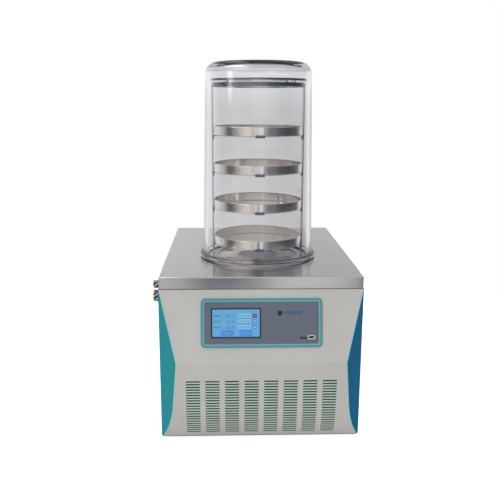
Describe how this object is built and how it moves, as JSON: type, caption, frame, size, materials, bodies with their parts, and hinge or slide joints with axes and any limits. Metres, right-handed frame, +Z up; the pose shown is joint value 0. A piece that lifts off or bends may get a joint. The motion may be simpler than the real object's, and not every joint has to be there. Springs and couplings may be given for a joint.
{
  "type": "bench-top freeze dryer",
  "caption": "Bench-top freeze dryer: steel deck over a cold trap, clear bell jar with a rack of round trays, angled front with a touch display, and teal and blue sides.",
  "frame": {"origin": "under the middle of the whole part's box, on the surface the feet stand on", "axes": "+Z up; -Y out of the control panel; +X towards the right side panel"},
  "size_m": [0.442, 0.619, 0.793],
  "materials": {
    "stainless": "satin",
    "steel_bar": "satin",
    "zinc": "satin",
    "cream_panel": "satin",
    "cream_steel": "satin",
    "teal_paint": "satin",
    "blue_paint": "satin",
    "teal_trim": "satin",
    "slate_plastic": "satin",
    "display": "gloss",
    "dark_frame": "satin",
    "dark_rim": "satin",
    "clear_acrylic": "gloss",
    "rubber": "matt",
    "black_paint": "gloss",
    "black_plastic": "matt",
    "light_plastic": "satin",
    "red_plastic": "gloss",
    "knob_metal": "satin",
    "aluminium": "satin",
    "copper": "satin",
    "brass": "satin",
    "board": "matt",
    "foam": "matt"
  },
  "bodies": {
    "cabinet": {"deck_plate": "stainless", "front_panel": "cream_panel", "left_side_panel": "teal_paint", "right_side_panel": "blue_paint", "rear_panel": "cream_steel", "base_pan": "dark_frame", "corner_posts": "dark_frame", "deck_rails": "dark_frame", "rubber_feet": "rubber", "foot_bolts": "zinc", "rear_panel_screws": "zinc", "panel_bezel": "teal_trim", "panel_fascia": "slate_plastic", "display_rim": "dark_rim", "display_glass": "display", "display_module": "black_plastic", "data_socket": "light_plastic", "control_board": "board", "bell_jar": "clear_acrylic", "jar_cap": "clear_acrylic", "jar_seal": "rubber", "stand_plate": "stainless", "rack_frame": "steel_bar", "rack_plate": "steel_bar", "rack_spacers": "zinc", "shelf_1": "steel_bar", "shelf_2": "steel_bar", "shelf_3": "steel_bar", "shelf_4": "steel_bar", "tray_1": "stainless", "tray_2": "stainless", "tray_3": "stainless", "tray_4": "stainless", "trap_well": "stainless", "cooling_coil": "copper", "trap_foam": "foam", "trap_probe": "stainless", "vacuum_tube": "stainless", "drain_pipe": "stainless", "drain_valve": "brass", "air_valve": "zinc", "gas_port": "knob_metal", "air_line": "stainless", "compressor": "black_paint", "compressor_mounts": "rubber", "compressor_bolts": "zinc", "condenser": "aluminium", "fan_shroud": "dark_frame", "fan_bracket": "dark_frame", "fan_motor": "black_plastic", "filter_drier": "copper", "copper_lines": "copper", "suction_line": "copper", "power_supply": "zinc", "power_inlet": "black_plastic", "switch_frame": "black_plastic"},
    "air_knob": {"air_knob": "knob_metal"},
    "drain_lever": {"drain_lever": "red_plastic"},
    "fan_rotor": {"fan_rotor": "light_plastic"},
    "switch_rocker": {"switch_rocker": "red_plastic"}
  },
  "joints": [
    {"name": "air_knob_turn", "type": "hinge", "parent": "cabinet", "child": "air_knob", "pos_m": [-0.203, -0.1925, 0.297], "axis": [-1, 0, 0], "range_deg": [0, 360]},
    {"name": "drain_lever_turn", "type": "hinge", "parent": "cabinet", "child": "drain_lever", "pos_m": [0.009, 0.2795, 0.059], "axis": [0, 0, 1], "range_deg": [0, 90]},
    {"name": "fan_spin", "type": "hinge", "parent": "cabinet", "child": "fan_rotor", "pos_m": [0.009, -0.1885, 0.0855], "axis": [0, 1, 0], "continuous": true},
    {"name": "switch_rock", "type": "hinge", "parent": "cabinet", "child": "switch_rocker", "pos_m": [-0.096, 0.2585, 0.06], "axis": [1, 0, 0], "range_deg": [0, 18]}
  ]
}
